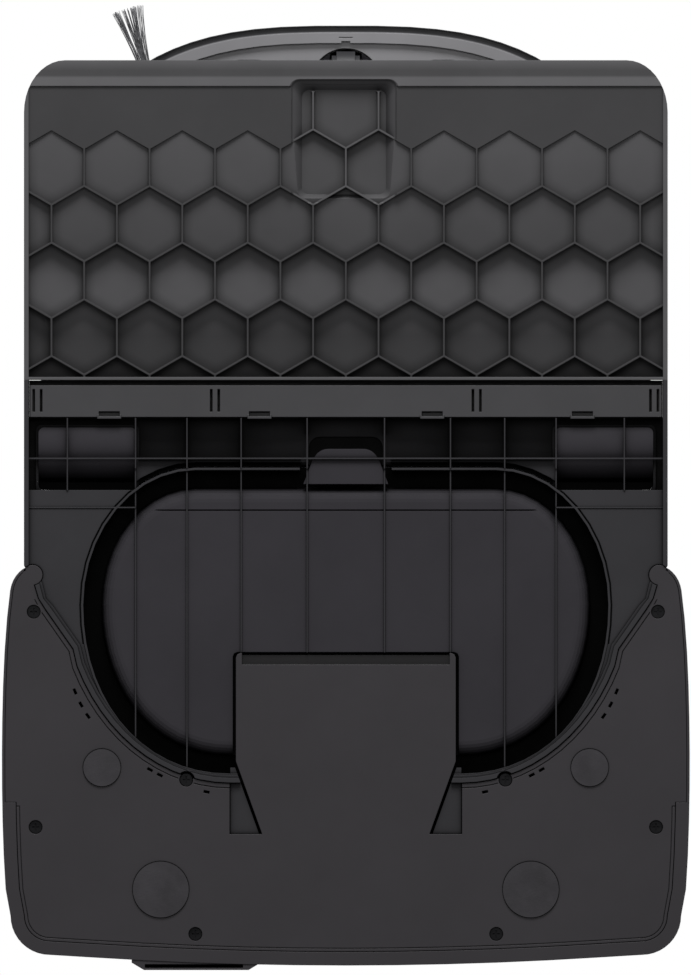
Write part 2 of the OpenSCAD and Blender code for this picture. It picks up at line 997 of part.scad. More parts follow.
module tank() {
    w = 2.5;
    difference() {
        slab(tank_z0, tank_z1)
            round_rect(tank_x0, tank_x1, tank_y0, tank_y1, 22);
        slab(tank_z0 + w, tank_z1 + 1)
            round_rect(tank_x0 + w, tank_x1 - w, tank_y0 + w, tank_y1 - w, 20);
        translate([86, 215, tank_z0 - 1])
            cylinder(r = 5, h = 10);
    }
}

module tank_lid() {
    lid_t = 4;
    plug_in = 3.3;
    barrel_y = tank_y1 - 2.4;
    difference() {
        union() {
            slab(tank_z1 + 0.3, tank_z1 + 0.3 + lid_t)
                round_rect(tank_x0, tank_x1, tank_y0, barrel_y, 22);
            // hinge barrel along the rear edge
            translate([tank_x0 + 22, barrel_y, tank_z1 + 0.3 + lid_t / 2])
                rotate([0, 90, 0])
                    cylinder(r = lid_t / 2, h = tank_x1 - tank_x0 - 44);
            slab(tank_z1 - 3, tank_z1 + 0.4)
                difference() {
                    round_rect(tank_x0 + plug_in, tank_x1 - plug_in, tank_y0 + plug_in, tank_y1 - 12, 20);
                    round_rect(tank_x0 + plug_in + 2, tank_x1 - plug_in - 2, tank_y0 + plug_in + 2, tank_y1 - 14, 18);
                }
            for (x = [14, 154])
                box_at(x, x + 4, 140, 152, tank_z1 + 4, tank_z1 + 12);
        }
        translate([0, 146, tank_z1 + 8.2])
            rotate([0, 90, 0])
                cylinder(r = 2.05, h = 200);
    }
}

// bail handle, lying forward on the lid
module tank_handle() {
    z = tank_z1 + 8.2;
    for (x = [19, 147])
        difference() {
            box_at(x, x + 6, 78, 149, z - 3, z + 3);
            box_at(x - 1, x + 7, 148, 150, z - 4, z + 4);
        }
    box_at(19, 153, 74, 86, z - 3, z + 3);
    for (x = [14.5, 150])
        translate([x, 146, z])
            rotate([0, 90, 0])
                cylinder(r = 2, h = 7.5);
}

module clean_tank() {
    color([0.55, 0.65, 0.75])
        tank();
}

module clean_lid() {
    color(charcoal)
        tank_lid();
}

module clean_handle() {
    color(grey)
        tank_handle();
}

module dirty_tank() {
    color([0.3, 0.3, 0.32])
        mirror([1, 0, 0])
            tank();
}

module dirty_lid() {
    color(charcoal)
        mirror([1, 0, 0])
            tank_lid();
}

module dirty_handle() {
    color(grey)
        mirror([1, 0, 0])
            tank_handle();
}

// part of the robot's outline in front of or behind y
module robot_band(outer, inner, y0, y1) {
    intersection() {
        difference() {
            robot_2d(outer);
            robot_2d(inner);
        }
        translate([-200, y0])
            square([400, y1 - y0]);
    }
}

module end_wall(inner) {
    pair()
        intersection() {
            difference() {
                robot_2d(1);
                robot_2d(inner);
            }
            translate([100, bumper_end + 6])
                square([100, 2]);
        }
}

module robot_chassis() {
    z = chassis_z;
    color(grey)
        difference() {
            union() {
                slab(z, z + 3)
                    robot_2d(6);
                slab(z + 2.9, z + 20)
                    difference() {
                        robot_2d(12);
                        robot_2d(14);
                    }
                for (s = [-1, 1])
                    translate([s * mop_x, mop_y, z + 2.9])
                        cylinder(r = 16, h = 20);
                // brush tunnel
                box_at(-96, 96, brush_y - 27, brush_y + 27, z, brush_z + 25);
                // wheel wells
                for (s = [-1, 1])
                    box_at(s * wheel_x - 18, s * wheel_x + 18, axle_y - 42, axle_y + 42, z + 2.9, z + 30);
            }
            for (s = [-1, 1])
                box_at(s * wheel_x - 15.5, s * wheel_x + 15.5, axle_y - 39, axle_y + 39, 0, 90);
            box_at(-93, 93, brush_y - 24.5, brush_y + 24.5, 0, brush_z + 22);
            translate([0, caster_y, 0])
                cylinder(r = 19, h = z + 10);
            translate([hub_x, hub_y, 0])
                cylinder(r = 12, h = z + 10);
            for (s = [-1, 1])
                translate([s * mop_x, mop_y, 0])
                    cylinder(r = 4.06, h = 100);
            // dust outlet over the station's duct
            box_at(-20, 20, port_y0 - 45, port_y1 - 49, 0, 50);
            for (s = [-1, 1])
                slab(0, z + 1.2)
                    round_rect(s * 52 - 10, s * 52 + 10, -229, -215, 5);
        }
    // caster socket and side brush shaft
    color(grey)
        difference() {
            union() {
                translate([0, caster_y, z + 3])
                    cylinder(r = 21, h = 12);
                translate([hub_x, hub_y, z + 3])
                    cylinder(r = 14, h = 12);
            }
            translate([0, caster_y, 0])
                cylinder(r = 19, h = z + 9);
            translate([hub_x, hub_y, 0])
                cylinder(r = 12, h = z + 3.1);
            translate([0, caster_y, 0])
                cylinder(r = 3.06, h = z + 20);
            translate([hub_x, hub_y, 0])
                cylinder(r = 3.06, h = z + 20);
        }
}

module robot_shell() {
    top_t = 3;
    step_z = 98;
    color(charcoal)
        difference() {
            union() {
                slab(26, robot_top)
                    robot_band(0, 3, bumper_end + 6, 200);
                slab(chassis_z + 20.2, step_z + 1)
                    robot_band(12.2, 14.2, -300, bumper_end + 8);
                // end walls behind the bumper
                slab(31.2, chassis_z + 20.4)
                    end_wall(11.7);
                slab(chassis_z + 20.2, step_z + 1)
                    end_wall(14.2);
                slab(step_z, robot_top)
                    difference() {
                        robot_2d(0);
                        robot_2d(3);
                    }
                slab(step_z, step_z + 2)
                    robot_band(2, 14, -300, bumper_end + 10);
                slab(robot_top - top_t, robot_top)
                    robot_2d(1);
            }
            pair()
                box_at(wheel_x - 18.4, wheel_x + 18.4, axle_y - 42.4, axle_y + 42.4, 20, chassis_z + 30.4);
            // well under the lid
            slab(60, 200)
                round_rect(-93, 93, -208, -96, 14);
            // seat of the lid, and its hinge slot
            slab(robot_top - 1.4, 200)
                round_rect(-100.5, 100.5, -214.5, lid_hinge_y + 4, 18);
            translate([0, button_y, 60])
                cylinder(r = 5.06, h = 100);
        }
    // charging plates on the rear
    color(gold)
        for (s = [-1, 1])
            translate([s * contact_x, 102.4, contact_pin_z])
                rotate([-90, 0, 0])
                    cylinder(r = 7, h = 2);
}

module robot_lid() {
    z = robot_top - 1.1;
    color(charcoal)
        difference() {
            union() {
                slab(z, z + 3)
                    round_rect(-100, 100, -214, lid_hinge_y, 18);
                // hinge barrel along the rear edge
                translate([-82, lid_hinge_y, z + 1.5])
                    rotate([0, 90, 0])
                        cylinder(r = 1.5, h = 164);
            }
            slab(z - 1, z + 1)
                round_rect(-60, 60, -190, -110, 10);
        }
}

module robot_bumper() {
    trim_z = 96;
    color(charcoal)
        difference() {
            union() {
                slab(27, trim_z)
                    robot_band(0, 3, -300, bumper_end);
                slab(25.5, 27.5)
                    robot_band(0, 9.4, -300, bumper_end);
                slab(trim_z - 2, trim_z)
                    robot_band(0, 7, -300, bumper_end);
            }
            // groove round the underside
            slab(24, 26.9)
                robot_band(0.6, 3.8, -300, bumper_end - 6);
            box_at(-2.4, 2.4, -239, -235, 24, 28);
            box_at(-3.6, 3.6, -241.2, -240.6, 24, 25.9);
            // window of the front sensor
            box_at(-34, 34, -250, -242, 66, 82);
        }
}

module bumper_trim() {
    color(dark)
        union() {
            box_at(-33.7, 33.7, -245.6, -242.3, 66.3, 81.7);
            box_at(-38, 38, -242.4, -241, 62, 86);
        }
}

module caster_fork() {
    z = contact_z + caster_wheel_r;
    color(dark)
        difference() {
            union() {
                translate([0, caster_y, z - 1])
                    cylinder(r = 18, h = 9);
                translate([0, caster_y, z + 7.9])
                    cylinder(r = 3, h = 12);
                for (s = [-1, 1])
                    translate([s * 10.2, caster_wheel_y, z])
                        rotate([0, 90, 0])
                            cylinder(r = 5, h = 3, center = true);
            }
            translate([0, caster_wheel_y, z])
                rotate([0, 90, 0])
                    cylinder(r = caster_wheel_r + 1, h = 17, center = true);
            translate([0, caster_wheel_y, z])
                rotate([0, 90, 0])
                    cylinder(r = 1.55, h = 30, center = true);
        }
}

module caster_wheel() {
    color(grey)
        translate([0, caster_wheel_y, contact_z + caster_wheel_r])
            rotate([0, 90, 0])
                union() {
                    cylinder(r = caster_wheel_r, h = 10, center = true);
                    cylinder(r = 6.8, h = 15, center = true);
                    cylinder(r = 1.5, h = 23, center = true);
                }
}

module wheel_hub(s) {
    color(grey)
        translate([s * wheel_x, axle_y, axle_z])
            rotate([0, 90, 0])
                difference() {
                    union() {
                        cylinder(r = wheel_r - 7, h = wheel_w - 2, center = true);
                        cylinder(r = 4, h = 30.6, center = true);
                    }
                    for (t = [-1, 1], a = [0:60:300])
                        rotate(a)
                            translate([16, 0, t * 11])
                                cylinder(r = 6, h = 8, center = true);
                }
}

module wheel_tyre(s) {
    color(dark)
        translate([s * wheel_x, axle_y, axle_z])
            rotate([0, 90, 0])
                difference() {
                    cylinder(r = wheel_r, h = wheel_w, center = true);
                    cylinder(r = wheel_r - 6.95, h = wheel_w + 2, center = true);
                    for (a = [7.5:15:352.5])
                        rotate(a)
                            translate([wheel_r - 2, -1.6, -wheel_w])
                                cube([4, 3.2, 2 * wheel_w]);
                }
}

module wheel_hub_left() {
    wheel_hub(-1);
}

module wheel_hub_right() {
    wheel_hub(1);
}

module wheel_tyre_left() {
    wheel_tyre(-1);
}

module wheel_tyre_right() {
    wheel_tyre(1);
}

module main_brush() {
    color(dark)
        translate([0, brush_y, brush_z])
            rotate([0, 90, 0])
                union() {
                    cylinder(r = 13, h = 164, center = true);
                    cylinder(r = 4, h = 185.6, center = true);
                    for (a = [0:60:300])
                        rotate(a)
                            translate([11, -0.9, -80])
                                cube([brush_r - 11, 1.8, 160]);
                }
}

module brush_cover() {
    z = chassis_z - 2.2;
    color(dark)
        difference() {
            box_at(-95, 95, brush_y - 29, brush_y + 29, z, chassis_z - 0.02);
            box_at(-86, 86, brush_y - 20.6, brush_y + 20.6, z - 1, chassis_z + 1);
        }
}

module side_brush_hub() {
    color(dark)
        translate([hub_x, hub_y, 0]) {
            translate([0, 0, 19])
                cylinder(r = 11, h = 6);
            translate([0, 0, 24.9])
                cylinder(r = 3, h = 14);
            for (a = [0, 120, 240])
                rotate(a - 106.5)
                    translate([6, -2.6, 18.4])
                        cube([16, 5.2, 4]);
        }
}

// three fanned tufts; each tuft is three flat wedges
module side_brush_bristles() {
    reach = 62.6;
    color(dark)
        for (a = [0, 120, 240], b = [-7.4, 0, 7.4])
            translate([hub_x, hub_y, 19.6])
                rotate(a - 106.5 + b)
                    linear_extrude(1.6)
                        polygon([[22.02, -1.1], [reach - abs(b) * 0.35, -2.6], [reach - abs(b) * 0.35, 2.6],
                                 [22.02, 1.1]]);
}

module mop_disc(s) {
    color(grey)
        translate([s * mop_x, mop_y, 0])
            union() {
                translate([0, 0, 19])
                    cylinder(r = mop_r - 6, h = 3.4);
                translate([0, 0, 22.3])
                    cylinder(r = 15, h = 4);
                translate([0, 0, 26])
                    cylinder(r = 4, h = 22);
            }
}

module mop_pad(s) {
    color(pale)
        translate([s * mop_x, mop_y, contact_z + 0.3])
            cylinder(r = mop_r, h = 3.7);
}

module mop_disc_left() {
    mop_disc(-1);
}

module mop_disc_right() {
    mop_disc(1);
}

module mop_pad_left() {
    mop_pad(-1);
}

module mop_pad_right() {
    mop_pad(1);
}

module lidar_cap() {
    color(charcoal)
        translate([0, turret_y, robot_top])
            difference() {
                union() {
                    cylinder(r = 42, h = 3);
                    translate([0, 0, 12.5])
                        cylinder(r = 40, h = 4.5);
                    for (a = [90, 210, 330])
                        rotate(a)
                            translate([35.5, -3, 2.9])
                                cube([3.6, 6, 9.7]);
                }
                translate([0, 0, 1.6])
                    cylinder(r = 33.5, h = 10);
            }
}

module lidar_head() {
    color(dark)
        translate([0, turret_y, robot_top + 1.9])
            difference() {
                cylinder(r = 32, h = 10.3);
                for (s = [-1, 1])
                    translate([s * 11 - 7, 22, 2])
                        cube([14, 20, 6]);
            }
}

module dust_bin() {
    color([0.35, 0.37, 0.4])
        difference() {
            slab(64, robot_top - 3.4)
                round_rect(-92, 92, -207, -97, 12);
            slab(66, 200)
                round_rect(-90, 90, -205, -99, 10);
        }
}

module battery() {
    color([0.1, 0.12, 0.3])
        slab(chassis_z + 3.1, chassis_z + 40)
            round_rect(-70, 70, -96, -34, 4);
}

module cliff_sensors() {
    color([0.05, 0.05, 0.06])
        for (s = [-1, 1])
            slab(chassis_z - 0.4, chassis_z + 1.18)
                round_rect(s * 52 - 9.6, s * 52 + 9.6, -228.6, -215.4, 4.6);
}

module robot_button() {
    color(grey)
        translate([0, button_y, robot_top - 5])
            union() {
                cylinder(r = 5, h = 5.6);
                cylinder(r = 6, h = 1.6);
            }
}

ramp_plate();
joint_strip();
base_tray();
wheel_rest_left();
wheel_rest_right();
wash_basin();
bottom_cover();
foot_pads();
bottom_screws();
tower_shell();
top_rim();
cavity_liner();
lower_deck();
upper_deck();
bag_chamber();
rear_bracket();
power_inlet();
air_duct();
duct_gasket();
suction_motor();
water_pump();
circuit_board();
status_light();
start_button();
charge_contact_left();
charge_contact_right();
dust_door();
bag_collar();
dust_bag();
clean_tank();
clean_lid();
clean_handle();
dirty_tank();
dirty_lid();
dirty_handle();
robot_chassis();
robot_shell();
robot_lid();
robot_bumper();
bumper_trim();
caster_fork();
caster_wheel();
wheel_hub_left();
wheel_tyre_left();
wheel_hub_right();
wheel_tyre_right();
main_brush();
brush_cover();
side_brush_hub();
side_brush_bristles();
mop_disc_left();
mop_pad_left();
mop_disc_right();
mop_pad_right();
lidar_cap();
lidar_head();
dust_bin();
battery();
cliff_sensors();
robot_button();
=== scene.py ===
"""Looks of the docking station with its robot, seen from below."""

import json
import math
import random

import bpy
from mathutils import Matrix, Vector


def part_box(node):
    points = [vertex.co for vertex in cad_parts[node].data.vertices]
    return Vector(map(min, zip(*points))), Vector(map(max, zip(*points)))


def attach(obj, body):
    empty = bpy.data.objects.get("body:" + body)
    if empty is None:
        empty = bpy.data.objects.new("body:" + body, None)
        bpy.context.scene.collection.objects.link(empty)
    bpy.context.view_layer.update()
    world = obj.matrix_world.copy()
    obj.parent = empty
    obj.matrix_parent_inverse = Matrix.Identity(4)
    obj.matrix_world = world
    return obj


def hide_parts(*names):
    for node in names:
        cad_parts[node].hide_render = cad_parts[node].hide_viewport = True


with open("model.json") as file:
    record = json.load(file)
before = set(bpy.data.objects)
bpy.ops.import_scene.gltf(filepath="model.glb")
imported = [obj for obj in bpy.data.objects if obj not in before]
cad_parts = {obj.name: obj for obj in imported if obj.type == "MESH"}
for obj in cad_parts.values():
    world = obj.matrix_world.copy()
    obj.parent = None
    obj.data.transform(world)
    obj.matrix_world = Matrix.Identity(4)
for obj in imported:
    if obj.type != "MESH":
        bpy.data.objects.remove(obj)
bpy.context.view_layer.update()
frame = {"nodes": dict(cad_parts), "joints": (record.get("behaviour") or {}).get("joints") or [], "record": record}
nodes = frame["nodes"]
MM = 0.001
# top of the station's deck, the full height of the ramp and tray
DECK_TOP = 14.5 * MM
# how softly the bumper's dark band of painted shade starts, on a scale where the outline is 1
RIM_SHADE_FADE = 0.01


# ---------------------------------------------------------------- materials
class Graph:
    """A small helper round one material's node tree."""

    def __init__(self, name):
        self.mat = bpy.data.materials.new(name)
        self.mat.use_nodes = True
        self.tree = self.mat.node_tree
        self.shader = self.tree.nodes["Principled BSDF"]
        self.coords = self.add("ShaderNodeTexCoord")

    def add(self, kind, **values):
        node = self.tree.nodes.new(kind)
        for key, value in values.items():
            setattr(node, key, value)
        return node

    def link(self, source, target):
        self.tree.links.new(source, target)

    def noise(self, scale, detail=3.0, roughness=0.5, stretch=None):
        node = self.add("ShaderNodeTexNoise")
        node.inputs["Scale"].default_value = scale
        node.inputs["Detail"].default_value = detail
        node.inputs["Roughness"].default_value = roughness
        if stretch:
            mapping = self.add("ShaderNodeMapping")
            mapping.inputs["Scale"].default_value = stretch
            self.link(self.coords.outputs["Object"], mapping.inputs["Vector"])
            self.link(mapping.outputs["Vector"], node.inputs["Vector"])
        else:
            self.link(self.coords.outputs["Object"], node.inputs["Vector"])
        return node.outputs["Fac"]

    def spread(self, source, low, high, start=0.3, end=0.7):
        node = self.add("ShaderNodeMapRange")
        node.inputs["From Min"].default_value = start
        node.inputs["From Max"].default_value = end
        node.inputs["To Min"].default_value = low
        node.inputs["To Max"].default_value = high
        self.link(source, node.inputs["Value"])
        return node.outputs["Result"]

    def colours(self, source, stops):
        node = self.add("ShaderNodeValToRGB")
        ramp = node.color_ramp
        while len(ramp.elements) < len(stops):
            ramp.elements.new(0.5)
        for element, (place, colour) in zip(ramp.elements, stops):
            element.position = place
            element.color = (*colour, 1)
        self.link(source, node.inputs["Fac"])
        return node.outputs["Color"]

    def axes(self, kind):
        """The X, Y and Z outputs of one texture coordinate."""
        node = self.add("ShaderNodeSeparateXYZ")
        self.link(self.coords.outputs[kind], node.inputs["Vector"])
        return node.outputs

    def maths(self, operation, first, second=None):
        """One math node. first is a socket, second a socket, a number or nothing."""
        node = self.add("ShaderNodeMath", operation=operation)
        self.link(first, node.inputs[0])
        if isinstance(second, float):
            node.inputs[1].default_value = second
        elif second:
            self.link(second, node.inputs[1])
        return node.outputs["Value"]

    def over(self, base, colour, amount):
        """Lays a flat colour over base by amount."""
        node = self.add("ShaderNodeMixRGB")
        node.inputs["Color2"].default_value = (*colour, 1)
        self.link(amount, node.inputs["Fac"])
        self.link(base, node.inputs["Color1"])
        return node.outputs["Color"]

    def darkened(self, base, factor):
        node = self.add("ShaderNodeMixRGB", blend_type="MULTIPLY")
        node.inputs["Fac"].default_value = 1.0
        self.link(base, node.inputs["Color1"])
        self.link(factor, node.inputs["Color2"])
        return node.outputs["Color"]

    def bumps(self, layers, normal=None):
        """layers: (height source, strength, distance in metres), the last one on top."""
        for source, strength, distance in layers:
            node = self.add("ShaderNodeBump")
            node.inputs["Strength"].default_value = strength
            node.inputs["Distance"].default_value = distance
            self.link(source, node.inputs["Height"])
            if normal:
                self.link(normal, node.inputs["Normal"])
            normal = node.outputs["Normal"]
        self.link(normal, self.shader.inputs["Normal"])


def tint(colour, factor):
    return tuple(min(1.0, c * factor) for c in colour)


def moulded(name, colour, rough=0.5, grain=1400, depth=0.05, vary=0.08, spec=0.4, coat=0.0, shade=0.0,
            reach=0.03, edge=0.0005, side=None, channel=None, depths=None, rim=None):
    """Moulded plastic: fine spark-eroded grain, faint flow marks, soft edges, painted shade in its deep pockets.

    shade is how strongly pockets darken with painted shade, ambient occlusion laid into the colour,
    reach how near their walls have to be. side is an optional second colour for faces that don't
    look straight down: painted shade on those faces. channel is two heights between which faces
    that look down take a darker colour, which comes third: painted shade in a recess.
    rim is (half width, half length, middle along Y, power, start): a dark band of painted shade outside
    start on a rounded-square outline, where the outline itself is 1.
    depths is a list of (height in mm, factor): painted shade that darkens the colour with its height over the
    floor.
    """
    g = Graph(name)
    broad = g.noise(14, 4, 0.6)
    base = g.colours(broad, [(0.3, tint(colour, 1 - vary)), (0.7, tint(colour, 1 + vary))])
    # faces that don't look straight down take the side colour: painted shade
    if side:
        tilt = g.axes("Normal")["Z"]
        base = g.over(base, side, g.spread(tilt, 0, 1, -0.97, -0.85))
    # a dark band in the side colour outside the outline: painted shade
    if rim:
        half_x, half_y, middle, power, start = rim
        spot = g.axes("Object")
        away = []
        for axis, half, shift in (("X", half_x, 0), ("Y", half_y, middle)):
            place = g.spread(spot[axis], -2, 2, shift - 2 * half, shift + 2 * half)
            away.append(g.maths("POWER", g.maths("ABSOLUTE", place), power))
        total = g.maths("ADD", *away)
        base = g.over(base, side, g.spread(total, 0, 1, start, start + RIM_SHADE_FADE))
    # faces that look down between two heights take a darker colour: painted shade
    if channel:
        low, high, unlit = channel
        height = g.axes("Object")["Z"]
        tilt = g.axes("Normal")["Z"]
        band = g.maths("MULTIPLY", g.spread(height, 0, 1, low, low + 1 * MM),
                       g.spread(height, 1, 0, high - 0.5 * MM, high))
        base = g.over(base, unlit, g.maths("MULTIPLY", band, g.spread(tilt, 1, 0, -0.5, -0.3)))
    # the colour darkened by height over the floor: painted shade
    if depths:
        height = g.spread(g.axes("Object")["Z"], 0, 1, 0, DECK_TOP)
        stops = [(z * MM / DECK_TOP, (factor, factor, factor)) for z, factor in depths]
        base = g.darkened(base, g.colours(height, stops))
    # ambient occlusion darkens the base colour: painted shade in pockets
    if shade:
        painted_pocket_shade = g.add("ShaderNodeAmbientOcclusion", samples=8)
        painted_pocket_shade.inputs["Distance"].default_value = reach
        base = g.darkened(base, g.maths("POWER", painted_pocket_shade.outputs["AO"], shade))
    g.link(base, g.shader.inputs["Base Color"])
    g.link(g.spread(g.noise(45, 5, 0.65), rough - 0.06, rough + 0.07), g.shader.inputs["Roughness"])
    soft = g.add("ShaderNodeBevel", samples=4)
    soft.inputs["Radius"].default_value = edge
    g.bumps([(g.noise(grain, 2, 0.5), depth, 0.0004), (g.noise(60, 3, 0.5), 0.02, 0.001)],
            soft.outputs["Normal"])
    g.shader.inputs["Specular IOR Level"].default_value = spec
    if coat:
        g.shader.inputs["Coat Weight"].default_value = coat
        g.shader.inputs["Coat Roughness"].default_value = 0.12
    return g.mat


def rubber(name, colour):
    g = Graph(name)
    g.link(g.colours(g.noise(40, 5, 0.7), [(0.3, tint(colour, 0.8)), (0.72, tint(colour, 1.35))]),
           g.shader.inputs["Base Color"])
    g.link(g.spread(g.noise(90, 4, 0.6), 0.68, 0.85), g.shader.inputs["Roughness"])
    g.bumps([(g.noise(900, 3, 0.6), 0.12, 0.0006)])
    g.shader.inputs["Specular IOR Level"].default_value = 0.3
    return g.mat


def metal(name, colour, rough):
    g = Graph(name)
    g.shader.inputs["Metallic"].default_value = 1.0
    g.link(g.colours(g.noise(80, 4, 0.6), [(0.3, tint(colour, 0.8)), (0.7, tint(colour, 1.1))]),
           g.shader.inputs["Base Color"])
    g.link(g.spread(g.noise(260, 4, 0.6), rough - 0.08, rough + 0.1), g.shader.inputs["Roughness"])
    g.bumps([(g.noise(1200, 2, 0.5), 0.04, 0.0002)])
    return g.mat


def glassy(name, colour, alpha, rough=0.08):
    g = Graph(name)
    g.link(g.colours(g.noise(10, 3, 0.5), [(0.3, tint(colour, 0.93)), (0.7, tint(colour, 1.05))]),
           g.shader.inputs["Base Color"])
    g.link(g.spread(g.noise(30, 3, 0.5), rough, rough + 0.08), g.shader.inputs["Roughness"])
    g.bumps([(g.noise(25, 2, 0.5), 0.03, 0.001)])
    g.shader.inputs["Alpha"].default_value = alpha
    g.shader.inputs["IOR"].default_value = 1.5
    return g.mat


def cloth(name, colour, weave=900, fuzz=0.35, blotch=0.15, depth=0.5):
    """Looped or non-woven cloth: a cell pattern, felted noise and a soft sheen."""
    g = Graph(name)
    g.link(g.colours(g.noise(55, 6, 0.7), [(0.3, tint(colour, 1 - blotch)), (0.7, tint(colour, 1 + blotch))]),
           g.shader.inputs["Base Color"])
    g.shader.inputs["Roughness"].default_value = 0.95
    g.shader.inputs["Sheen Weight"].default_value = fuzz
    g.shader.inputs["Sheen Roughness"].default_value = 0.5
    g.shader.inputs["Specular IOR Level"].default_value = 0.15
    voronoi = g.add("ShaderNodeTexVoronoi")
    voronoi.inputs["Scale"].default_value = weave
    g.link(g.coords.outputs["Object"], voronoi.inputs["Vector"])
    g.bumps([(g.noise(weave * 0.3, 5, 0.7), depth, 0.0008), (voronoi.outputs["Distance"], depth, 0.0006)])
    return g.mat


def strands(name, colour):
    g = Graph(name)
    streaks = g.noise(600, 2, 0.5, stretch=(1, 1, 0.2))
    g.link(g.colours(streaks, [(0.3, tint(colour, 0.6)), (0.7, tint(colour, 1.6))]),
           g.shader.inputs["Base Color"])
    g.shader.inputs["Roughness"].default_value = 0.42
    g.shader.inputs["Specular IOR Level"].default_value = 0.5
    g.bumps([(g.noise(1500, 2, 0.5), 0.1, 0.0002)])
    return g.mat


def board(name):
    g = Graph(name)
    brick = g.add("ShaderNodeTexBrick")
    brick.inputs["Scale"].default_value = 220
    brick.inputs["Color1"].default_value = (0.012, 0.10, 0.045, 1)
    brick.inputs["Color2"].default_value = (0.018, 0.13, 0.06, 1)
    brick.inputs["Mortar"].default_value = (0.03, 0.2, 0.09, 1)
    g.link(g.coords.outputs["Object"], brick.inputs["Vector"])
    g.link(brick.outputs["Color"], g.shader.inputs["Base Color"])
    g.link(g.spread(g.noise(100, 3, 0.5), 0.3, 0.45), g.shader.inputs["Roughness"])
    g.bumps([(brick.outputs["Fac"], 0.2, 0.0003)])
    return g.mat


MATERIALS = {
    # painted shade: the colour darkened by height over eleven stops, and in pockets by ambient occlusion
    "ramp_plastic": moulded("ramp_plastic", (0.066, 0.065, 0.068), rough=0.5, spec=0.14, shade=0.8, reach=0.006,
                            depths=[(0, 1), (0.6, 1), (0.8, 0.5), (1.2, 0.5), (2, 0.95), (5.5, 0.76), (7, 0.68),
                                    (7.8, 1), (9.2, 1), (10.3, 0.55), (12.5, 0.45)]),
    # painted shade in pockets by ambient occlusion
    "strip_plastic": moulded("strip_plastic", (0.034, 0.0335, 0.036), rough=0.5, spec=0.25, shade=1.1),
    # painted shade in pockets by ambient occlusion, and nearly black above 13 mm
    "tray_plastic": moulded("tray_plastic", (0.030, 0.0295, 0.032), rough=0.5, spec=0.04, shade=2.6,
                            depths=[(0, 1), (12.4, 1), (13, 0.05)]),
    # painted shade in pockets, and a quarter as bright on faces that look down between 2.5 and 5.2 mm
    "charcoal_plastic": moulded("charcoal_plastic", (0.0245, 0.0225, 0.0255), rough=0.55, spec=0.22, shade=0.9,
                                channel=(2.5 * MM, 5.2 * MM, (0.006125, 0.005625, 0.006375))),
    # painted shade in pockets, and nearly black on faces that look down between 10 and 13.5 mm
    "dark_plastic": moulded("dark_plastic", (0.030, 0.0285, 0.0325), rough=0.55, spec=0.02, shade=1.8,
                            channel=(10 * MM, 13.5 * MM, (0.001, 0.001, 0.001))),
    # painted shade: darker on faces that don't look down
    "caster_plastic": moulded("caster_plastic", (0.07, 0.07, 0.075), rough=0.5, spec=0.2,
                              side=(0.02, 0.02, 0.022)),
    "robot_plastic": moulded("robot_plastic", (0.15, 0.148, 0.155), rough=0.45),
    # painted shade: darker on faces that don't look down and on an outer band
    "bumper_plastic": moulded("bumper_plastic", (0.162, 0.16, 0.167), rough=0.4, spec=0.15,
                              side=(0.022, 0.022, 0.024),
                              rim=(163.5 * MM, 176.5 * MM, -70.9 * MM, 2.9, 0.94)),
    "inner_plastic": moulded("inner_plastic", (0.4, 0.4, 0.41), rough=0.6),
    "clear_tank": glassy("clear_tank", (0.35, 0.45, 0.55), 0.55),
    "smoked_tank": glassy("smoked_tank", (0.05, 0.05, 0.06), 0.85),
    "rubber_black": rubber("rubber_black", (0.0225, 0.021, 0.024)),
    "tyre_black": rubber("tyre_black", (0.022, 0.022, 0.023)),
    "bristle": strands("bristle", (0.07, 0.07, 0.075)),
    "mop_cloth": cloth("mop_cloth", (0.45, 0.46, 0.5), weave=420),
    "bag_cloth": cloth("bag_cloth", (0.62, 0.6, 0.54), weave=1600, fuzz=0.2, depth=0.25),
    "card": cloth("card", (0.5, 0.4, 0.26), weave=2200, fuzz=0.05, depth=0.1),
    "contact_brass": metal("contact_brass", (0.75, 0.58, 0.28), 0.25),
    "screw_steel": metal("screw_steel", (0.015, 0.015, 0.016), 0.5),
    "board_green": board("board_green"),
    "light_white": moulded("light_white", (0.8, 0.8, 0.78), rough=0.3, vary=0.02, depth=0.01),
    "sensor_black": moulded("sensor_black", (0.012, 0.012, 0.014), rough=0.12, vary=0.1, depth=0.0, coat=0.6),
    "battery_blue": moulded("battery_blue", (0.03, 0.05, 0.2), rough=0.3, depth=0.02),
    "motor_grey": moulded("motor_grey", (0.2, 0.2, 0.22), rough=0.5),
}

for part in frame["record"]["subparts"]:
    shown = nodes[part["node"]]
    shown.data.materials.clear()
    shown.data.materials.append(MATERIALS[part["material_slot"]])


# ---------------------------------------------------------------- pieces
def mesh_piece(name, verts, faces, slot, body, smooth=True):
    mesh = bpy.data.meshes.new(name)
    mesh.from_pydata(verts, [], faces)
    mesh.update()
    piece = bpy.data.objects.new(name, mesh)
    bpy.context.collection.objects.link(piece)
    mesh.materials.append(MATERIALS[slot])
    for polygon in mesh.polygons:
        polygon.use_smooth = smooth
    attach(piece, body)
    return piece


def tube(verts, faces, path, radii, sides=4):
    """Adds a thin tube along path to verts and faces."""
    start = len(verts)
    for i, point in enumerate(path):
        ahead = path[min(i + 1, len(path) - 1)] - path[max(i - 1, 0)]
        turn = ahead.to_track_quat("Z", "Y")
        for k in range(sides):
            angle = 2 * math.pi * k / sides
            verts.append(point + turn @ Vector((math.cos(angle), math.sin(angle), 0)) * radii[i])
    for i in range(len(path) - 1):
        for k in range(sides):
            a = start + i * sides + k
            b = start + i * sides + (k + 1) % sides
            faces.append((a, b, b + sides, a + sides))
    faces.append(tuple(start + k for k in reversed(range(sides))))
    end = start + (len(path) - 1) * sides
    faces.append(tuple(end + k for k in range(sides)))


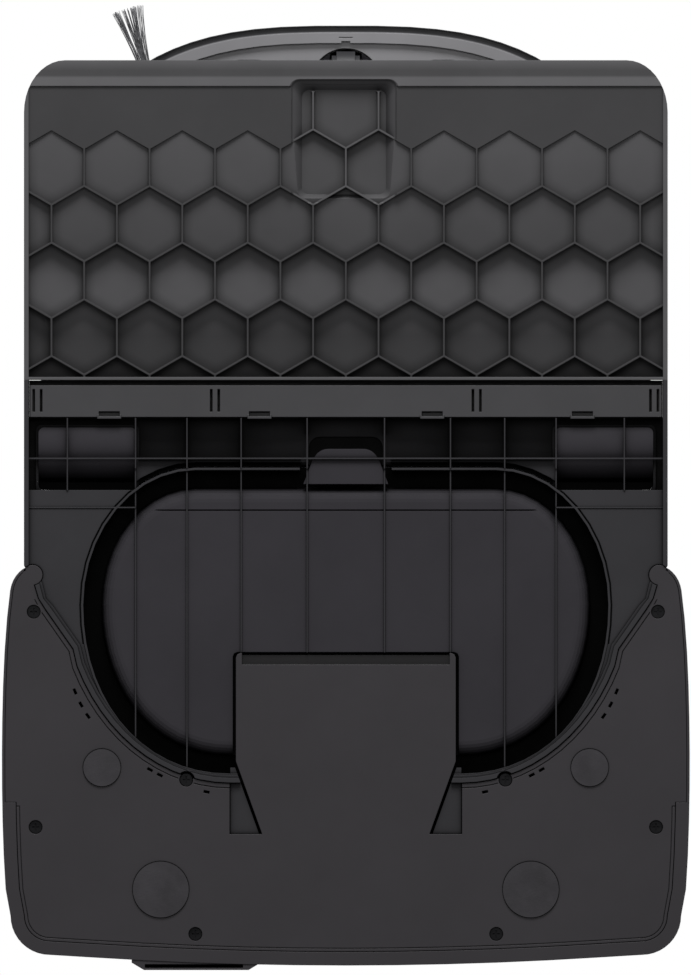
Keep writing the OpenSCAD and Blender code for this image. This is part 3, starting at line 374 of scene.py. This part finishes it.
def side_brush():
    rng = random.Random(7)
    hub_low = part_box("side_brush_hub")[0].z
    joint = next(j for j in frame["joints"] if j["name"] == "side_brush_spin")
    hub = Vector(joint["pos_m"])
    hub.z = hub_low + 1.9 * MM
    root, reach = 19 * MM, 61.8 * MM
    verts, faces = [], []
    for arm in range(3):
        middle = math.radians(-106.5 + 120 * arm)
        for tuft in (-1, 0, 1):
            for _ in range(30):
                spread = math.radians(5.2 * tuft + rng.uniform(-2.8, 2.8))
                lift = rng.uniform(-0.7, 0.7) * MM
                droop = rng.uniform(0.1, 0.9) * MM
                length = reach - rng.uniform(0, 1.6) * MM
                fan = rng.uniform(-1.4, 1.4) * MM
                path = []
                for i in range(7):
                    t = i / 6
                    away = root + (length - root) * t
                    angle = middle + spread * (0.35 + 0.65 * t)
                    out = Vector((math.cos(angle), math.sin(angle), 0))
                    side = Vector((-out.y, out.x, 0))
                    path.append(hub + out * away + side * fan * (1 - t) + Vector((0, 0, lift - droop * t * t)))
                tube(verts, faces, path, [0.17 * MM * (1 - 0.35 * i / 6) for i in range(7)])
    piece = mesh_piece("side_brush_strands", verts, faces, "bristle", "side_brush")
    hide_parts("side_brush_bristles")


def mop(side):
    """A round looped-pile pad: crowned, with a bound edge and rings of pile."""
    rng = random.Random(11 if side == "left" else 12)
    lo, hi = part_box("mop_pad_" + side)
    centre = (lo + hi) / 2
    radius = (hi.x - lo.x) / 2 - 0.3 * MM
    rings, spokes = 60, 144
    phase = [rng.uniform(0, 6.28) for _ in range(rings + 1)]
    verts, faces = [], []

    def height(r, a, i):
        edge = max(0.0, (r / radius - 0.9) / 0.1)
        pile = 0.32 * math.sin(a * (18 + 3 * (i % 5)) + phase[i]) + 0.2 * math.sin(a * 47 + i * 1.7)
        seam = -0.9 * math.exp(-(((r - radius * 0.88) / (1.1 * MM)) ** 2))
        return (0.25 + 0.25 * pile + seam) * (1 - edge ** 2) - 1.5 * edge ** 3

    bottom, top = lo.z, hi.z
    verts.append(Vector((centre.x, centre.y, bottom + 0.3 * MM)))
    for i in range(1, rings + 1):
        r = radius * i / rings
        for k in range(spokes):
            a = 2 * math.pi * k / spokes
            z = bottom + (0.55 - height(r, a, i)) * MM
            verts.append(Vector((centre.x + r * math.cos(a), centre.y + r * math.sin(a), z)))
    for k in range(spokes):
        faces.append((0, 1 + (k + 1) % spokes, 1 + k))
    for i in range(rings - 1):
        for k in range(spokes):
            a, b = 1 + i * spokes + k, 1 + i * spokes + (k + 1) % spokes
            faces.append((a, b, b + spokes, a + spokes))
    start = len(verts) - spokes
    for rim, drop in ((radius + 0.25 * MM, 0.55), (radius, 0.85), (radius * 0.97, 0.98)):
        for k in range(spokes):
            a = 2 * math.pi * k / spokes
            wave = 0.15 * MM * math.sin(a * 36)
            verts.append(Vector((centre.x + (rim + wave) * math.cos(a), centre.y + (rim + wave) * math.sin(a),
                                 bottom + (top - bottom) * drop)))
        new = len(verts) - spokes
        for k in range(spokes):
            faces.append((start + k, start + (k + 1) % spokes, new + (k + 1) % spokes, new + k))
        start = new
    faces.append(tuple(start + k for k in range(spokes)))
    piece = mesh_piece("mop_cloth_" + side, verts, faces, "mop_cloth", "mop_" + side)
    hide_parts("mop_pad_" + side)


def dust_bag():
    """A part-filled bag of non-woven cloth, blown up by simulation and then let sag a little."""
    lo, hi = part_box("dust_bag")
    inset = Vector((9, 9, 9)) * MM
    a, b = lo + inset, hi - inset
    size = b - a
    across, deep, tall = 34, 16, 18
    verts, faces, index = [], [], {}

    def corner(i, j, k):
        key = (i, j, k)
        if key not in index:
            u, v, w = i / across, j / deep, k / tall
            point = Vector((a.x + size.x * u, a.y + size.y * v, a.z + size.z * w))
            gusset = 8 * MM * math.sin(math.pi * v) * (abs(u - 0.5) * 2) ** 6
            point.x -= math.copysign(gusset, u - 0.5)
            index[key] = len(verts)
            verts.append(point)
        return index[key]

    for i in range(across):
        for j in range(deep):
            faces.append((corner(i, j, 0), corner(i, j + 1, 0), corner(i + 1, j + 1, 0), corner(i + 1, j, 0)))
            faces.append((corner(i, j, tall), corner(i + 1, j, tall), corner(i + 1, j + 1, tall),
                          corner(i, j + 1, tall)))
        for k in range(tall):
            faces.append((corner(i, 0, k), corner(i + 1, 0, k), corner(i + 1, 0, k + 1), corner(i, 0, k + 1)))
            faces.append((corner(i, deep, k), corner(i, deep, k + 1), corner(i + 1, deep, k + 1),
                          corner(i + 1, deep, k)))
    for j in range(deep):
        for k in range(tall):
            faces.append((corner(0, j, k), corner(0, j, k + 1), corner(0, j + 1, k + 1), corner(0, j + 1, k)))
            faces.append((corner(across, j, k), corner(across, j + 1, k), corner(across, j + 1, k + 1),
                          corner(across, j, k + 1)))
    piece = mesh_piece("bag_cloth", verts, faces, "bag_cloth", "station")
    start = [v.co.copy() for v in piece.data.vertices]
    cloth_mod = piece.modifiers.new("blow", "CLOTH")
    settings = cloth_mod.settings
    settings.quality = 6
    settings.use_pressure = True
    settings.uniform_pressure_force = 3.0
    settings.tension_stiffness = settings.compression_stiffness = 18
    settings.bending_stiffness = 0.6
    settings.effector_weights.gravity = 0.15
    cloth_mod.collision_settings.use_collision = False
    scene = bpy.context.scene
    for step in range(1, 19):
        scene.frame_set(step)
    shape = piece.evaluated_get(bpy.context.evaluated_depsgraph_get())
    moved = [v.co.copy() for v in shape.data.vertices]
    piece.modifiers.clear()
    scene.frame_set(1)
    for v, old, new in zip(piece.data.vertices, start, moved):
        step = new - old
        v.co = old + step * min(1.0, 8 * MM / max(step.length, 1e-9))
        for axis in range(3):
            v.co[axis] = min(max(v.co[axis], lo[axis] + 0.4 * MM), hi[axis] - 0.6 * MM)
    piece.modifiers.new("round", "SUBSURF").render_levels = 2
    piece.modifiers["round"].levels = 1
    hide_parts("dust_bag")


side_brush()
mop("left")
mop("right")
dust_bag()


# ---------------------------------------------------------------- stage
def one_way_floor():
    """Pale floor that shows only from above, so the underside can be seen through it."""
    mesh = bpy.data.meshes.new("floor")
    half = 4.0
    level = -0.2 * MM
    corners = [(x * half, y * half, level) for x, y in ((-1, -1), (1, -1), (1, 1), (-1, 1))]
    mesh.from_pydata(corners, [], [(0, 1, 2, 3)])
    mesh.update()
    floor = bpy.data.objects.new("floor", mesh)
    bpy.context.collection.objects.link(floor)
    mat = bpy.data.materials.new("floor_pale")
    mat.use_nodes = True
    tree = mat.node_tree
    shader = tree.nodes["Principled BSDF"]
    shader.inputs["Base Color"].default_value = (0.8, 0.8, 0.8, 1)
    shader.inputs["Roughness"].default_value = 0.7
    geometry = tree.nodes.new("ShaderNodeNewGeometry")
    clear = tree.nodes.new("ShaderNodeBsdfTransparent")
    mix = tree.nodes.new("ShaderNodeMixShader")
    tree.links.new(geometry.outputs["Backfacing"], mix.inputs["Fac"])
    tree.links.new(shader.outputs["BSDF"], mix.inputs[1])
    tree.links.new(clear.outputs["BSDF"], mix.inputs[2])
    tree.links.new(mix.outputs["Shader"], tree.nodes["Material Output"].inputs["Surface"])
    mesh.materials.append(mat)
    floor.visible_diffuse = False
    floor.visible_glossy = False
    floor.visible_transmission = False
    floor.visible_shadow = False


def soft_light(name, place, target, size, power):
    data = bpy.data.lights.new(name, "AREA")
    data.energy = power
    data.shape = "RECTANGLE"
    data.size = data.size_y = size
    light = bpy.data.objects.new(name, data)
    bpy.context.collection.objects.link(light)
    light.location = place
    light.rotation_mode = "QUATERNION"
    light.rotation_quaternion = (Vector(target) - Vector(place)).to_track_quat("-Z", "Y")
    light.visible_camera = False


one_way_floor()
world = bpy.data.worlds.new("world")
bpy.context.scene.world = world
world.use_nodes = True
# white behind the object, dim grey light all round it
sky = world.node_tree
background = sky.nodes["Background"]
seen = sky.nodes.new("ShaderNodeBackground")
seen.inputs["Color"].default_value = (1, 1, 1, 1)
background.inputs["Color"].default_value = (1, 1, 1, 1)
background.inputs["Strength"].default_value = 0.25
rays = sky.nodes.new("ShaderNodeLightPath")
either = sky.nodes.new("ShaderNodeMixShader")
sky.links.new(rays.outputs["Is Camera Ray"], either.inputs["Fac"])
sky.links.new(background.outputs["Background"], either.inputs[1])
sky.links.new(seen.outputs["Background"], either.inputs[2])
sky.links.new(either.outputs["Shader"], sky.nodes["World Output"].inputs["Surface"])

soft_light("below_front", (0.0, -2.6, -1.5), (0, 0, 0), 1.2, 125)
soft_light("below", (0.0, -1.0, -3.0), (0, 0, 0), 1.2, 25)
soft_light("above_left", (-1.6, -1.8, 2.2), (0, 0, 0.2), 1.4, 60)
soft_light("above_right", (1.8, -0.6, 1.8), (0, 0, 0.2), 1.4, 30)
soft_light("above_back", (1.0, 2.4, 1.8), (0, 0, 0.2), 1.4, 45)

# ---------------------------------------------------------------- camera
# far away with a long lens, so that the underside is seen almost without perspective
DISTANCE = 16.0
PICTURE_TALL = 975
PIXEL = 0.535 * MM
SEEN_TALL = PICTURE_TALL * PIXEL
MIDDLE = (-0.17 * MM, 0.13 * MM)
camera_data = bpy.data.cameras.new("camera")
camera_data.sensor_width = 36
camera_data.lens = 36 * DISTANCE / SEEN_TALL
camera_data.clip_start = 0.1
camera_data.clip_end = 50
camera = bpy.data.objects.new("camera", camera_data)
bpy.context.collection.objects.link(camera)
camera.location = (*MIDDLE, -DISTANCE)
camera.rotation_euler = (math.pi, 0, 0)
bpy.context.scene.camera = camera
bpy.context.scene.view_settings.view_transform = "Standard"
